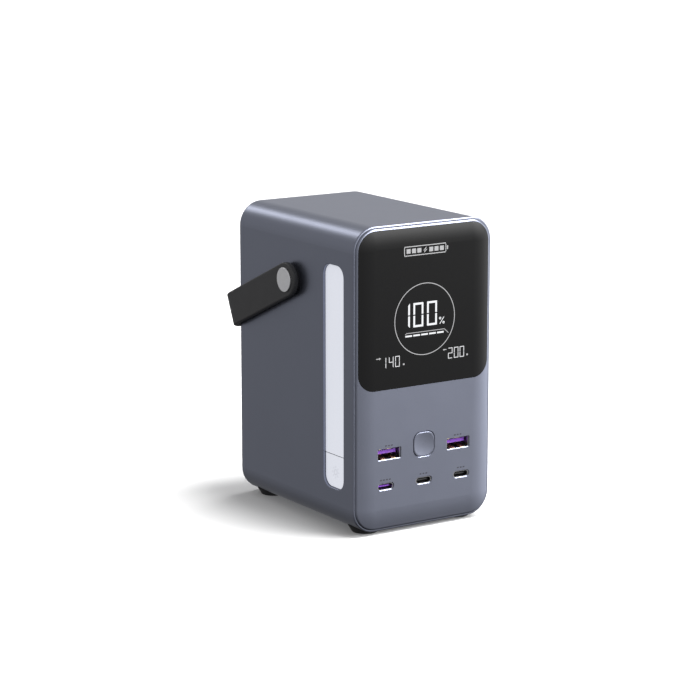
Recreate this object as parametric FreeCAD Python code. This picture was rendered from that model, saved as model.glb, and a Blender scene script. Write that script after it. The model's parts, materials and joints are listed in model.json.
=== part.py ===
import FreeCAD, Part
import math
import os

from FreeCAD import Vector

# A small carry-along power station: an upright sleeve with a crowned front, a glass display over the
# upper half of it, five outputs and a power button below, a lamp strip in the left side, four rubber
# feet, and a strap that swings on two rivets. Millimetres. +Z is up and the front looks towards -Y.
# The origin is the bottom centre of the whole object's box, which the folded strap makes deeper than
# the body. A "depth" is measured back from the foremost point of the front face. A cutter runs past the
# face that it opens by the overcut, and edges are picked to within the touch distance.

# ---- driving dimensions --------------------------------------------------------------------------
body_width = 80.0
body_depth = 106.4
shell_height = 148.6
foot_height = 1.6
strap_overhang = 10.0
corner_radius = 12.0
wall = 2.3
rear_edge_radius = 2.4
fit_gap = 0.1
overcut = 1.0
touch = 0.01

half_width = body_width / 2
front_y = -(body_depth + strap_overhang) / 2
back_y = front_y + body_depth
bottom_z = foot_height
top_z = bottom_z + shell_height
middle_z = (bottom_z + top_z) / 2

# Rear cover, on a ledge inside the sleeve's back.
rear_wall = 3.3
rear_pocket_depth = 2.0
rear_pocket_inset = 3.4
rear_ledge_inset = 6.5
rear_seam = 0.15
rear_rim_radius = 0.3
rear_skirt_reach = 5.0
rear_skirt_gap = 0.2
rear_skirt_thickness = 1.5
hook_size = (10.0, 1.1)
hook_reach = 4.6
hook_root = 0.5
hook_from_middle = 35.0

# Front face: flat in the middle, falling away over the last stretch to a tight rounded edge.
lip_depth = 1.7
lip_thickness = 1.0
lip_edge_radius = 0.7
crown_inset = 11.0
crown_edge_inset = 2.0
crown_radius = 47.6
panel_edge_radius = 1.1
panel_back_depth = 4.2
panel_thin_depth = 2.6
skirt_depth = 7.6
skirt_inset = 2.4
skirt_thickness = 1.5
thin_area_inset = 7.0
thin_area_below_glass = 6.0
thin_area_corner = 5.0
opening_top_z = 55.0
opening_chamfer = 0.3
pocket_clearance = 0.2
flat_margin = 0.5

# Display.
glass_side_inset = 2.3
glass_top_inset = 2.05
glass_bottom_z = 71.4
glass_top_radius = 9.9
glass_bottom_radius = 8.5
glass_back_depth = 2.2
tape_thickness = 0.2
tape_inset = 0.8
display_size = (62.0, 50.0)
display_centre_z = 104.0
window_gap = 0.5
lcd_depths = (2.6, 5.0)
backlight_depths = (5.1, 8.1)
display_board_depths = (8.3, 9.9)
display_board_half_width = 33.0
display_post_x = 30.5
display_post_drop = 27.8
display_board_margin = 3.0
lcd_corner = 1.0
backlight_corner = 1.5
tape_window_room = 2.0
display_posts = [
    (x, display_centre_z + z)
    for x in (-display_post_x, display_post_x)
    for z in (-display_post_drop, display_post_drop)
]
driver_chip_size = 9.0
driver_chip_height = 1.2
driver_chip_place = (6.0, 100.0)

# Outputs and power button, all on the vertical output board.
usb_a_x = 20.25
usb_a_z = 39.7
usb_a_outer = (13.1, 5.7)
usb_a_mouth = (13.3, 5.1)
usb_a_start = 0.6
usb_a_metal = 0.3
usb_a_tongue = (11.1, 1.9)
usb_a_tongue_rise = 0.75
usb_a_tongue_start = 2.6
usb_c_x = 22.25
usb_c_z = 23.8
usb_c_outer = (8.94, 3.26)
usb_c_mouth = (9.2, 3.1)
usb_c_start = 0.5
usb_c_metal = 0.3
usb_c_tongue = (6.65, 0.7)
usb_c_tongue_start = 2.0
usb_a_corner = 0.5
usb_c_corner = 1.6
usb_c_mouth_corner = 1.5
usb_a_places = (("left", -usb_a_x), ("right", usb_a_x))
usb_c_places = (("left", -usb_c_x), ("middle", 0.0), ("right", usb_c_x))
usb_a_contact_places = (-3.5, -1.0, 1.0, 3.5)
usb_a_contact_width = 1.0
usb_a_groove_width = 1.1
usb_a_groove_setback = 0.8
usb_a_groove_span = (1.0, 0.75)
usb_a_contact_setback = 0.9
usb_a_contact_span = (0.25, 0.15)
usb_a_nose_radius = 0.3
usb_a_base_length = 3.0
usb_a_base_clearance = 0.8
usb_c_base_length = 9.0
usb_c_base_clearance = 0.9
usb_c_base_corner = 1.1
sleeve_end = 1.0
output_board_depths = (17.0, 18.6)
output_board_x = (-31.0, 36.0)
output_board_z = (10.0, 68.0)
board_back = output_board_depths[1]
board_corner = 2.0
board_hole_radius = 1.2
panel_posts = ((-28.5, 14.0), (32.5, 14.0), (-28.5, 63.5), (32.5, 63.5))
post_radius = 2.3
pilot_radius = 1.0
board_screw_head = (2.0, 1.2)
board_screw_shank = 5.4
board_screw_drive = (2.6, 0.5)
board_screw_drive_floor = 0.7
button_size = 11.8
button_corner = 3.7
button_gap = 0.22
button_z = 41.9
button_dish_radius = 58.0
button_travel = 0.5
button_rim_radius = 0.35
button_dish_depth = 0.3
button_flange_width = 1.1
button_flange_corner = 4.7
button_flange_start = 2.9
button_cap_end = 3.0
button_flange_back_depth = 4.1
button_stem_radius = 2.0
button_stem_length = 10.0
switch_size = 6.0
switch_front_depth = 15.0
plunger_radius = 1.1
plunger_clearance = 0.08
plunger_front_depth = 14.1
plunger_length = 1.6
plunger_end_room = 0.4
inductor_size = 11.0
inductor_height = 4.2
inductor_corner = 2.0
inductor_z = 24.0
inductor_places = (-22.0, -8.0, 6.0)
capacitor_radius = 3.0
capacitor_height = 4.4
capacitor_places = [(x, z) for x in (16.0, 23.0, 30.0) for z in (24.0, 32.0)]
chip_size = 7.0
chip_height = 1.0
chip_z = 42.0
chip_places = (-20.0, -4.0, 12.0)
heat_sink_x = (-27.0, 19.0)
heat_sink_z = (37.0, 52.0)
heat_sink_plate = 1.4
fin_count = 12
fin_pitch = 4.0
fin_thickness = 1.2
fin_reach = (1.0, 3.6)
fin_margin = 0.5

# Lamp in the left side.
lamp_depths = (10.1, 27.9)
lamp_z = (21.3, 130.7)
lamp_corner = 5.6
lamp_recess = 1.4
lamp_split_z = 37.6
lamp_gap = 0.3
lamp_flange = 1.3
lamp_travel = 0.5
lamp_past_ends = 5.0
lamp_key_room = (6.0, 0.6)
lamp_key_slack = 0.3
reflector_outset = 0.4
reflector_key_window = (0.5, 1.0)
reflector_key_wall = 2.0
reflector_pocket_corner = 3.0
light_board_margin = 1.0
light_board_corner = 1.0
light_switch_floor = 0.3
light_plunger_setback = 0.9
led_count = 12
led_size = 3.8
led_height = 0.9
led_end_room = (7.0, 5.0)
lens_clearance = 0.15
lens_x = (-half_width + lamp_recess, -half_width + wall)
flange_x = (-half_width + wall + fit_gap, -half_width + wall + fit_gap + 1.2)
diffuser_z = (lamp_split_z + lamp_gap / 2, lamp_z[1])
key_z = (lamp_z[0], lamp_split_z - lamp_gap / 2)
key_stem_radius = 1.8
key_stem_length = 1.0
reflector_back_x = -33.2
reflector_floor = 0.8
reflector_rim = 1.0
light_board_x = (-33.1, -31.9)
light_board_depths = (11.5, 26.5)
light_switch_height = 1.2
slot_edge_radius = 0.25

# Battery: eight cells lying front to back, two wide and four high.
cell_radius = 16.1
cell_length = 70.5
cell_pitch = 33.2
cell_rows = 4
cell_front_depth = 28.5
holder_thickness = 7.0
holder_size = (69.6, 135.0)
holder_corner = 12.0
cell_back_depth = cell_front_depth + cell_length
cell_clearance = 0.05
cell_rim_radius = 0.8
terminal_rise = 0.6
terminal_radius = 4.5
terminal_length = 1.0
tab_thickness = 0.3
tab_width = 10.0
tab_length = cell_pitch + 14.0
tab_corner = 2.0
sheet_thickness = 0.4
sheet_size = (52.0, 130.0)
sheet_corner = 3.0
battery_board_depths = (23.6, 25.2)
battery_board_x = (-31.0, 34.0)
battery_board_z = (70.0, 138.0)
battery_posts = ((-28.6, 73.0), (30.0, 73.0), (-28.6, 135.0), (30.0, 135.0))
battery_post_radius = 2.2
battery_post_root = 2.0
battery_pilot_length = 4.0
transistor_count = 6
transistor_pitch = 7.0
transistor_start_x = -22.0
transistor_size = (5.0, 1.1, 6.0)
transistor_z = 112.0
lead_radius = 1.1
positive_lead_x = 14.0
negative_lead_x = 22.0
lead_bend_radius = 60.0
lead_depths = (20.6, 22.2)
lead_heights = (57.0, 70.0, 84.0, 97.0)
lead_end_room = 1.3
lead_lug = 4.0
pad_height = 80.0
pad_width = 34.0
pad_front_setback = 1.8
pad_rear_setback = 1.0

# Feet and strap.
foot_x = 27.0
foot_from_middle = 42.0
foot_bottom_radius = 6.2
foot_slope = 0.6
foot_seat = 0.8
foot_blank_height = 4.0
foot_rim_radius = 0.5
foot_screw_radius = 1.5
foot_screw_head = (2.7, 1.4)
foot_screw_drive = (3.0, 0.7)
foot_screw_end_room = 0.2
foot_screw_hole_length = 6.0
foot_past_front = 5.0
screw_head_clearance = 0.2
tray_top = 6.0
tray_half_width = 33.0
tray_boss_top = 8.2
tray_boss_radius = 3.4
tray_rib_x = 30.0
tray_rib_thickness = 1.2
tray_rib_end_room = 14.0
tray_front_room = 0.4
tray_rear_room = 1.0
tray_root = 1.0
strap_width = 16.8
strap_thickness = 3.0
strap_side_gap = 1.6
strap_bend_radius = 9.0
strap_reach = 63.3
strap_droop = 23.75
strap_edge_radius = 0.9
pivot_y = -2.85
pivot_z = 118.6
rivet_radius = 6.0
rivet_disc_thickness = 0.6
rivet_rim_radius = 0.25
rivet_shaft_length = 11.2
shaft_radius = 2.5
shaft_clearance = 0.05
bush_radius = 4.2
core_thickness = 1.0
core_width = 11.0
core_start = 9.0
strap_outer_x = half_width + strap_side_gap + strap_thickness
spacer_radius = 6.5
backing_plate_size = 18.0
backing_plate_thickness = 1.0
backing_plate_corner = 3.0
nut_radius = 4.6
nut_height = 2.4
nut_sides = 6

X_AXIS = Vector(1, 0, 0)
Y_AXIS = Vector(0, 1, 0)
Z_AXIS = Vector(0, 0, 1)


# ---- small helpers -------------------------------------------------------------------------------
def behind(near, far):
    """Y span of two depths behind the foremost point of the front."""
    return (front_y + near, front_y + far)


def around(centre, size):
    """Span of a size about a centre."""
    return (centre - size / 2, centre + size / 2)


def box(x, y, z):
    """Box from three spans."""
    return Part.makeBox(x[1] - x[0], y[1] - y[0], z[1] - z[0], Vector(x[0], y[0], z[0]))


def edges_along(solid, axis):
    """Straight edges that run along an axis."""
    return [e for e in solid.Edges if abs(e.tangentAt(e.FirstParameter).dot(axis)) > 0.9]


def rounded_box(x, y, z, axis, radius):
    """Box with its four edges along one axis rounded."""
    solid = box(x, y, z)
    return solid.makeFillet(radius, edges_along(solid, axis))


def rod(start, axis, length, radius):
    """Cylinder from a start point."""
    return Part.makeCylinder(radius, length, start, axis)


def body_prism(inset, y):
    """The body's rounded outline, drawn in by an inset, over a Y span."""
    x = (-half_width + inset, half_width - inset)
    z = (bottom_z + inset, top_z - inset)
    return rounded_box(x, y, z, Y_AXIS, corner_radius - inset)


def union(shapes):
    """One solid from many."""
    return shapes[0].fuse(shapes[1:]).removeSplitter()


def group(shapes):
    """Separate solids that share a node."""
    return Part.makeCompound(shapes)


# ---- housing -------------------------------------------------------------------------------------
def crown_profile(back_depth):
    """Section of the front's edge: X is 0 at the side and -corner_radius at the corner's centre."""
    run = crown_inset - crown_edge_inset
    tilt = math.asin(run / crown_radius)
    half_tilt = tilt / 2
    fall = crown_radius * (1 - math.cos(tilt))
    flat = Vector(-crown_inset, 0, 0)
    half_fall = crown_radius * (1 - math.cos(half_tilt))
    crown_mid = Vector(flat.x + crown_radius * math.sin(half_tilt), half_fall, 0)
    crown_end = Vector(-crown_edge_inset, fall, 0)
    centre = crown_end + Vector(-math.sin(tilt), math.cos(tilt), 0) * panel_edge_radius
    turn = (tilt + math.pi / 2) / 2
    edge_mid = centre + Vector(math.sin(turn), -math.cos(turn), 0) * panel_edge_radius
    edge_end = centre + Vector(panel_edge_radius, 0, 0)
    corner = Vector(edge_end.x, back_depth, 0)
    inner_back = Vector(-corner_radius, back_depth, 0)
    inner_front = Vector(-corner_radius, 0, 0)
    edges = [
        Part.Arc(flat, crown_mid, crown_end).toShape(),
        Part.Arc(crown_end, edge_mid, edge_end).toShape(),
        Part.makeLine(edge_end, corner),
        Part.makeLine(corner, inner_back),
        Part.makeLine(inner_back, inner_front),
        Part.makeLine(inner_front, flat),
    ]
    return Part.Face(Part.Wire(edges))


def crowned_blank(back_depth):
    """The whole front as one solid, from its crowned face to a flat back."""
    profile = crown_profile(back_depth)
    half_height = shell_height / 2
    inner_w = half_width - corner_radius
    inner_h = half_height - corner_radius
    pieces = [box((-inner_w, inner_w), (0, back_depth), (-inner_h, inner_h))]
    for turn in (0, 90, 180, 270):
        sideways = turn % 180 == 0
        reach = half_width if sideways else half_height
        run = inner_h if sideways else inner_w
        side = profile.extrude(Vector(0, 0, 2 * run))
        side.translate(Vector(reach, 0, -run))
        corner = profile.revolve(Vector(-corner_radius, 0, 0), Y_AXIS, 90)
        corner.translate(Vector(reach, 0, -run))
        for piece in (side, corner):
            piece.rotate(Vector(0, 0, 0), Y_AXIS, turn)
            pieces.append(piece)
    blank = union(pieces)
    blank.translate(Vector(0, front_y, middle_z))
    return blank


def glass_prism(grow, y):
    """Outline of the display glass: large corners at the top, slightly smaller ones below."""
    half = half_width - glass_side_inset + grow
    z = (glass_bottom_z - grow, top_z - glass_top_inset + grow)
    solid = box((-half, half), y, z)
    upper = [e for e in edges_along(solid, Y_AXIS) if e.CenterOfMass.z > display_centre_z]
    solid = solid.makeFillet(glass_top_radius + grow, upper)
    low_corner_z = z[0] + glass_bottom_radius
    lower = [e for e in edges_along(solid, Y_AXIS) if e.CenterOfMass.z < low_corner_z]
    return solid.makeFillet(glass_bottom_radius + grow, lower)


def foot_cone(grow):
    """Foot shape below one corner, before the sleeve's own shape is taken out of it."""
    bottom = foot_bottom_radius + grow
    top = bottom + foot_slope * foot_blank_height
    return Part.makeCone(bottom, top, foot_blank_height, Vector(0, 0, 0), Z_AXIS)


def foot_places():
    """Name and centre of each foot."""
    middle_y = (front_y + back_y) / 2
    places = []
    for end, y in (("front", middle_y - foot_from_middle), ("rear", middle_y + foot_from_middle)):
        for side, x in (("left", -foot_x), ("right", foot_x)):
            places.append((end + "_" + side, x, y))
    return places


def foot_blank(x, y, grow):
    """Foot seated in the sleeve's underside to a shallow depth."""
    cone = foot_cone(grow)
    cone.translate(Vector(x, y, 0))
    return cone.cut(body_prism(foot_seat, (front_y - foot_past_front, back_y + foot_past_front)))


def lamp_slot(radius, x, z, grow):
    """Round-cornered bar along Z for the lamp's opening and lens, grown on every side."""
    y = behind(lamp_depths[0] - grow, lamp_depths[1] + grow)
    span = (z[0] - grow, z[1] + grow)
    return rounded_box(x, y, span, X_AXIS, radius + grow)


def main_shell():
    """Sleeve: open at the front, with a ledge for the rear cover."""
    outer = body_prism(0, (front_y + lip_depth, back_y))
    rear = [e for e in outer.Edges if e.BoundBox.YMin > back_y - touch]
    outer = outer.makeFillet(rear_edge_radius, rear)
    front = [e for e in outer.Edges if e.BoundBox.YMax < front_y + lip_depth + touch]
    outer = outer.makeFillet(lip_edge_radius, front)
    shaft_start = Vector(-half_width - overcut, pivot_y, pivot_z)
    cutters = [
        body_prism(wall, (front_y, back_y - rear_wall)),
        body_prism(lip_thickness, behind(0, panel_back_depth + fit_gap)),
        body_prism(rear_ledge_inset, (back_y - rear_wall - overcut, back_y + overcut)),
        body_prism(rear_pocket_inset, (back_y - rear_pocket_depth, back_y + overcut)),
        lamp_slot(lamp_corner, (-half_width - overcut, -half_width + wall + overcut), lamp_z, 0),
        rod(shaft_start, X_AXIS, body_width + 2 * overcut, shaft_radius + shaft_clearance),
    ]
    for _, x, y in foot_places():
        cutters.append(foot_blank(x, y, fit_gap))
        cutters.append(rod(Vector(x, y, 0), Z_AXIS, foot_screw_hole_length, foot_screw_radius + fit_gap))
    shell = outer.cut(cutters)
    slot_rim = [e for e in shell.Edges if e.BoundBox.XMax < touch - half_width and near_lamp(e)]
    return shell.makeFillet(slot_edge_radius, slot_rim)


def near_lamp(edge):
    """Whether an edge lies on the lamp slot's outline."""
    low, high = behind(lamp_depths[0] - fit_gap, lamp_depths[1] + fit_gap)
    return edge.BoundBox.YMin > low and edge.BoundBox.YMax < high


def rear_cover():
    """Flush plate on the sleeve's rear ledge, with a skirt and four hooks inside."""
    plate = body_prism(rear_pocket_inset + rear_seam, (back_y - rear_pocket_depth, back_y))
    rim = [e for e in plate.Edges if e.BoundBox.YMin > back_y - touch]
    plate = plate.makeFillet(rear_rim_radius, rim)
    skirt_y = (back_y - rear_skirt_reach, back_y - rear_pocket_depth)
    skirt_outset = rear_ledge_inset + rear_skirt_gap
    skirt = body_prism(skirt_outset, skirt_y).cut(body_prism(skirt_outset + rear_skirt_thickness, skirt_y))
    pieces = [plate, skirt]
    hook_y = (back_y - hook_reach, back_y - rear_wall - fit_gap)
    for side in (-1, 1):
        for z in (middle_z - hook_from_middle, middle_z + hook_from_middle):
            ledge_x = side * (half_width - rear_ledge_inset)
            x = tuple(sorted((ledge_x - side * hook_root, ledge_x + side * (hook_size[1] - hook_root))))
            pieces.append(box(x, hook_y, around(z, hook_size[0])))
    return union(pieces)


def hole_for(size, radius, x, z, near, far):
    """Straight rounded hole in the front panel between two depths."""
    return rounded_box(around(x, size[0]), behind(near, far), around(z, size[1]), Y_AXIS, radius)


def front_panel():
    """Crowned bezel: glass pocket and window above, output and button openings below."""
    panel = crowned_blank(panel_back_depth)
    skirt = body_prism(skirt_inset, behind(panel_back_depth, skirt_depth))
    skirt = skirt.cut(body_prism(skirt_inset + skirt_thickness, behind(0, skirt_depth + overcut)))
    window = (display_size[0] + 2 * window_gap, display_size[1] + 2 * window_gap)
    thin_x = (-half_width + thin_area_inset, half_width - thin_area_inset)
    thin_z = (bottom_z + thin_area_inset, glass_bottom_z - thin_area_below_glass)
    thin_y = behind(panel_thin_depth, panel_back_depth + overcut)
    key_hole = [button_size + 2 * button_gap] * 2
    cutters = [
        glass_prism(fit_gap, behind(-overcut, glass_back_depth + tape_thickness)),
        box(around(0, window[0]), behind(0, skirt_depth), around(display_centre_z, window[1])),
        rounded_box(thin_x, thin_y, thin_z, Y_AXIS, thin_area_corner),
        hole_for(key_hole, button_corner + button_gap, 0, button_z, -overcut, skirt_depth),
    ]
    for _, x in usb_a_places:
        pocket = [side + pocket_clearance for side in usb_a_outer]
        cutters.append(hole_for(usb_a_mouth, usb_a_corner, x, usb_a_z, -overcut, usb_a_start))
        cutters.append(hole_for(pocket, usb_a_corner, x, usb_a_z, usb_a_start, skirt_depth))
    for _, x in usb_c_places:
        pocket = [side + pocket_clearance for side in usb_c_outer]
        cutters.append(hole_for(usb_c_mouth, usb_c_mouth_corner, x, usb_c_z, -overcut, usb_c_start))
        cutters.append(hole_for(pocket, usb_c_corner, x, usb_c_z, usb_c_start, skirt_depth))
    panel = panel.fuse(skirt).cut(cutters)
    posts = []
    pilots = []
    for places, near, far in (
        (panel_posts, panel_thin_depth, output_board_depths[0]),
        (display_posts, panel_back_depth, display_board_depths[0]),
    ):
        for x, z in places:
            posts.append(rod(Vector(x, front_y + near, z), Y_AXIS, far - near, post_radius))
            start = Vector(x, front_y + panel_back_depth, z)
            pilots.append(rod(start, Y_AXIS, output_board_depths[0], pilot_radius))
    panel = union([panel] + posts).cut(pilots)
    flat = front_y + touch
    on_face = [e for e in panel.Edges if e.BoundBox.YMax < flat and e.BoundBox.ZMax < opening_top_z]
    return panel.makeChamfer(opening_chamfer, [e for e in on_face if in_flat(e)])


def in_flat(edge):
    """Whether an edge lies inside the flat middle of the front, away from where the crown starts."""
    side = half_width - crown_inset - flat_margin
    low = bottom_z + crown_inset + flat_margin
    bounds = edge.BoundBox
    return bounds.XMin > -side and bounds.XMax < side and bounds.ZMin > low


# ---- display -------------------------------------------------------------------------------------
def display_glass():
    """Cover glass, following the crowned front."""
    y = behind(-overcut, glass_back_depth + overcut)
    return crowned_blank(glass_back_depth).common(glass_prism(0, y))


def glass_tape():
    """Frame of tape that bonds the glass to its pocket."""
    y = behind(glass_back_depth, glass_back_depth + tape_thickness)
    clear_x = around(0, display_size[0] + tape_window_room)
    clear_z = around(display_centre_z, display_size[1] + tape_window_room)
    return glass_prism(-tape_inset, y).cut(box(clear_x, behind(0, skirt_depth), clear_z))


def display_layer(depths, radius):
    """One layer of the display stack."""
    z = around(display_centre_z, display_size[1])
    return rounded_box(around(0, display_size[0]), behind(*depths), z, Y_AXIS, radius)


def display_board():
    """Display driver board, on four posts."""
    x = (-display_board_half_width, display_board_half_width)
    z = (display_posts[0][1] - display_board_margin, display_posts[1][1] + display_board_margin)
    board = rounded_box(x, behind(*display_board_depths), z, Y_AXIS, board_corner)
    chip_depths = behind(display_board_depths[1], display_board_depths[1] + driver_chip_height)
    chip_x, chip_z_place = driver_chip_place
    driver = box(around(chip_x, driver_chip_size), chip_depths, around(chip_z_place, driver_chip_size))
    holes = board_holes(display_posts, output_board_depths[0])
    return union([board, driver]).cut(holes)


def board_holes(places, length):
    """Screw holes for a board on posts."""
    return [rod(Vector(x, front_y, z), Y_AXIS, length, board_hole_radius) for x, z in places]


def board_screw(x, z, seat):
    """Small pan-head screw through a board into its post, with its head on the board at the seat depth."""
    head_radius, head_height = board_screw_head
    head = rod(Vector(x, front_y + seat, z), Y_AXIS, head_height, head_radius)
    start = Vector(x, front_y + seat - board_screw_shank, z)
    shank = rod(start, Y_AXIS, board_screw_shank, pilot_radius)
    y = behind(seat + board_screw_drive_floor, seat + 2 * head_height)
    long_side, short_side = board_screw_drive
    slot = box(around(x, long_side), y, around(z, short_side))
    cross = box(around(x, short_side), y, around(z, long_side))
    return union([head, shank]).cut([slot, cross])


def board_screws():
    """Screws of both boards."""
    screws = [board_screw(x, z, display_board_depths[1]) for x, z in display_posts]
    screws += [board_screw(x, z, output_board_depths[1]) for x, z in panel_posts]
    return group(screws)


# ---- outputs -------------------------------------------------------------------------------------
def receptacle(outer, metal, radius, x, z, start):
    """Drawn metal sleeve of an output, closed at the board."""
    body = hole_for(outer, radius, x, z, start, output_board_depths[0])
    inner = (outer[0] - 2 * metal, outer[1] - 2 * metal)
    bore = hole_for(inner, radius - metal, x, z, start - overcut, output_board_depths[0] - sleeve_end)
    return body.cut(bore)


def usb_a_shell(x):
    """Metal sleeve of a wide output."""
    return receptacle(usb_a_outer, usb_a_metal, usb_a_corner, x, usb_a_z, usb_a_start)


def usb_a_tongue_piece(x):
    """Coloured tongue of a wide output, with a base block at the back of the sleeve."""
    z = usb_a_z + usb_a_tongue_rise
    end = output_board_depths[0] - sleeve_end
    tongue = box(around(x, usb_a_tongue[0]), behind(usb_a_tongue_start, end), around(z, usb_a_tongue[1]))
    nose = [e for e in tongue.Edges if e.BoundBox.YMax < front_y + usb_a_tongue_start + touch]
    tongue = tongue.makeFillet(usb_a_nose_radius, nose)
    base_size = [side - usb_a_base_clearance for side in usb_a_outer]
    base_y = behind(end - usb_a_base_length, end)
    base = box(around(x, base_size[0]), base_y, around(usb_a_z, base_size[1]))
    groove_y = behind(usb_a_tongue_start + usb_a_groove_setback, end - usb_a_base_length)
    groove_z = (z - usb_a_groove_span[0], z - usb_a_groove_span[1])
    grooves = [box(around(x + k, usb_a_groove_width), groove_y, groove_z) for k in usb_a_contact_places]
    return union([tongue, base]).cut(grooves)


def usb_a_contacts():
    """Four flat contacts under each tongue."""
    bars = []
    low = usb_a_z + usb_a_tongue_rise - usb_a_tongue[1] / 2
    end = output_board_depths[0] - sleeve_end - usb_a_base_length
    y = behind(usb_a_tongue_start + usb_a_contact_setback, end - fit_gap)
    z = (low - usb_a_contact_span[0], low + usb_a_contact_span[1])
    for _, x in usb_a_places:
        for k in usb_a_contact_places:
            bars.append(box(around(x + k, usb_a_contact_width), y, z))
    return group(bars)


def usb_c_shell(x):
    """Metal sleeve of a small oval output."""
    return receptacle(usb_c_outer, usb_c_metal, usb_c_corner, x, usb_c_z, usb_c_start)


def usb_c_tongue_piece(x):
    """Thin centre tongue of a small output."""
    end = output_board_depths[0] - sleeve_end
    y = behind(usb_c_tongue_start, end)
    tongue = box(around(x, usb_c_tongue[0]), y, around(usb_c_z, usb_c_tongue[1]))
    base_size = [side - usb_c_base_clearance for side in usb_c_outer]
    base = hole_for(base_size, usb_c_base_corner, x, usb_c_z, end - usb_c_base_length, end)
    return union([tongue, base])


def output_board():
    """Vertical board that carries the outputs, with mounting holes."""
    board = rounded_box(output_board_x, behind(*output_board_depths), output_board_z, Y_AXIS, board_corner)
    return board.cut(board_holes(panel_posts, 2 * board_back))


def power_button():
    """Slightly dished key cap with a flange behind the panel and a stem to its switch."""
    cap = hole_for((button_size, button_size), button_corner, 0, button_z, 0, button_cap_end)
    rim = [e for e in cap.Edges if e.BoundBox.YMax < front_y + touch]
    cap = cap.makeFillet(button_rim_radius, rim)
    dish_centre = Vector(0, front_y + button_dish_depth - button_dish_radius, button_z)
    dish = Part.makeSphere(button_dish_radius, dish_centre)
    flange_size = [button_size + 2 * button_flange_width] * 2
    flange_span = (button_flange_start, button_flange_back_depth)
    flange = hole_for(flange_size, button_flange_corner, 0, button_z, *flange_span)
    stem_start = Vector(0, front_y + button_flange_back_depth, button_z)
    stem = rod(stem_start, Y_AXIS, button_stem_length, button_stem_radius)
    return union([cap.cut(dish), flange, stem])


def power_switch():
    """Push switch on the output board."""
    y = behind(switch_front_depth, output_board_depths[0])
    body = box(around(0, switch_size), y, around(button_z, switch_size))
    start = Vector(0, front_y + plunger_front_depth, button_z)
    bore_length = plunger_length + button_travel + plunger_end_room
    return body.cut(rod(start, Y_AXIS, bore_length, plunger_radius + plunger_clearance))


def power_switch_plunger():
    """Plunger between the key's stem and the switch."""
    start = Vector(0, front_y + plunger_front_depth, button_z)
    return rod(start, Y_AXIS, plunger_length, plunger_radius)


def inductors():
    """Power inductors on the back of the output board."""
    y = behind(board_back, board_back + inductor_height)
    z = around(inductor_z, inductor_size)
    spans = [around(x, inductor_size) for x in inductor_places]
    return group([rounded_box(x, y, z, Y_AXIS, inductor_corner) for x in spans])


def capacitors():
    """Round capacitors on the back of the output board."""
    starts = [Vector(x, front_y + board_back, z) for x, z in capacitor_places]
    return group([rod(start, Y_AXIS, capacitor_height, capacitor_radius) for start in starts])


def control_chips():
    """Controllers on the back of the output board."""
    y = behind(board_back, board_back + chip_height)
    return group([box(around(x, chip_size), y, around(chip_z, chip_size)) for x in chip_places])


def heat_sink():
    """Finned plate over the controllers."""
    near = board_back + chip_height
    pieces = [box(heat_sink_x, behind(near, near + heat_sink_plate), heat_sink_z)]
    fin_y = behind(near + fin_reach[0], near + fin_reach[1])
    for k in range(fin_count):
        x = heat_sink_x[0] + fin_margin + fin_pitch * k
        pieces.append(box((x, x + fin_thickness), fin_y, heat_sink_z))
    return union(pieces)


# ---- lamp ----------------------------------------------------------------------------------------
def lamp_lens(z, flange_z):
    """Lens bar in the slot with a flange behind the sleeve's wall."""
    lens = lamp_slot(lamp_corner, (lens_x[0], flange_x[1]), lamp_z, -lens_clearance)
    flange = lamp_slot(lamp_corner, flange_x, lamp_z, lamp_flange)
    y = behind(0, 2 * lamp_depths[1])
    lens_part = lens.common(box((-half_width, 0), y, z))
    flange_part = flange.common(box((-half_width, 0), y, flange_z))
    return union([lens_part, flange_part])


def light_diffuser():
    """Long lens above the lamp key."""
    return lamp_lens((diffuser_z[0], lamp_z[1]), (diffuser_z[0], lamp_z[1] + lamp_past_ends))


def light_button():
    """Lens segment at the bottom of the strip, which is the lamp's key, with a stem to its switch."""
    key = lamp_lens((lamp_z[0], key_z[1]), (lamp_z[0] - lamp_past_ends, key_z[1]))
    stem_start = Vector(flange_x[1], lamp_middle_y(), sum(key_z) / 2)
    stem = rod(stem_start, X_AXIS, key_stem_length, key_stem_radius)
    clearance = lamp_slot(lamp_corner, (-half_width, flange_x[0] + 2), lamp_z, -lamp_gap)
    lens_zone = box((-half_width, lens_x[1] + fit_gap), behind(0, 2 * lamp_depths[1]), (0, lamp_split_z))
    trimmed = key.cut(lens_zone.cut(clearance))
    return union([trimmed, stem])


def light_reflector():
    """White tray that holds the lamp's board, with pockets for the light sources and the switch."""
    x = (flange_x[1] + fit_gap, reflector_back_x)
    inner = (x[0] - overcut, reflector_back_x - reflector_floor)
    hollow_y = behind(lamp_depths[0] + reflector_rim, lamp_depths[1] - reflector_rim)
    upper = (lamp_split_z + reflector_key_wall, lamp_z[1])
    lower = (lamp_z[0] - reflector_key_window[0], lamp_split_z - reflector_key_window[1])
    tray = lamp_slot(lamp_corner, x, lamp_z, reflector_outset)
    through_x = (x[0] - overcut, reflector_back_x + overcut)
    cutters = [rounded_box(inner, hollow_y, upper, X_AXIS, reflector_pocket_corner)]
    cutters.append(box(through_x, hollow_y, lower))
    key_room_x = (x[0] - overcut, x[0] + lamp_travel + lamp_key_slack)
    key_room_z = (lamp_z[0] - lamp_key_room[0], lamp_split_z + lamp_key_room[1])
    cutters.append(box(key_room_x, behind(0, 2 * lamp_depths[1]), key_room_z))
    for z in led_places():
        pocket = led_size + 2 * pocket_clearance
        cutters.append(box(through_x, around(lamp_middle_y(), pocket), around(z, pocket)))
    return tray.cut(cutters)


def lamp_middle_y():
    """Y of the lamp strip's centre line."""
    return front_y + sum(lamp_depths) / 2


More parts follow.
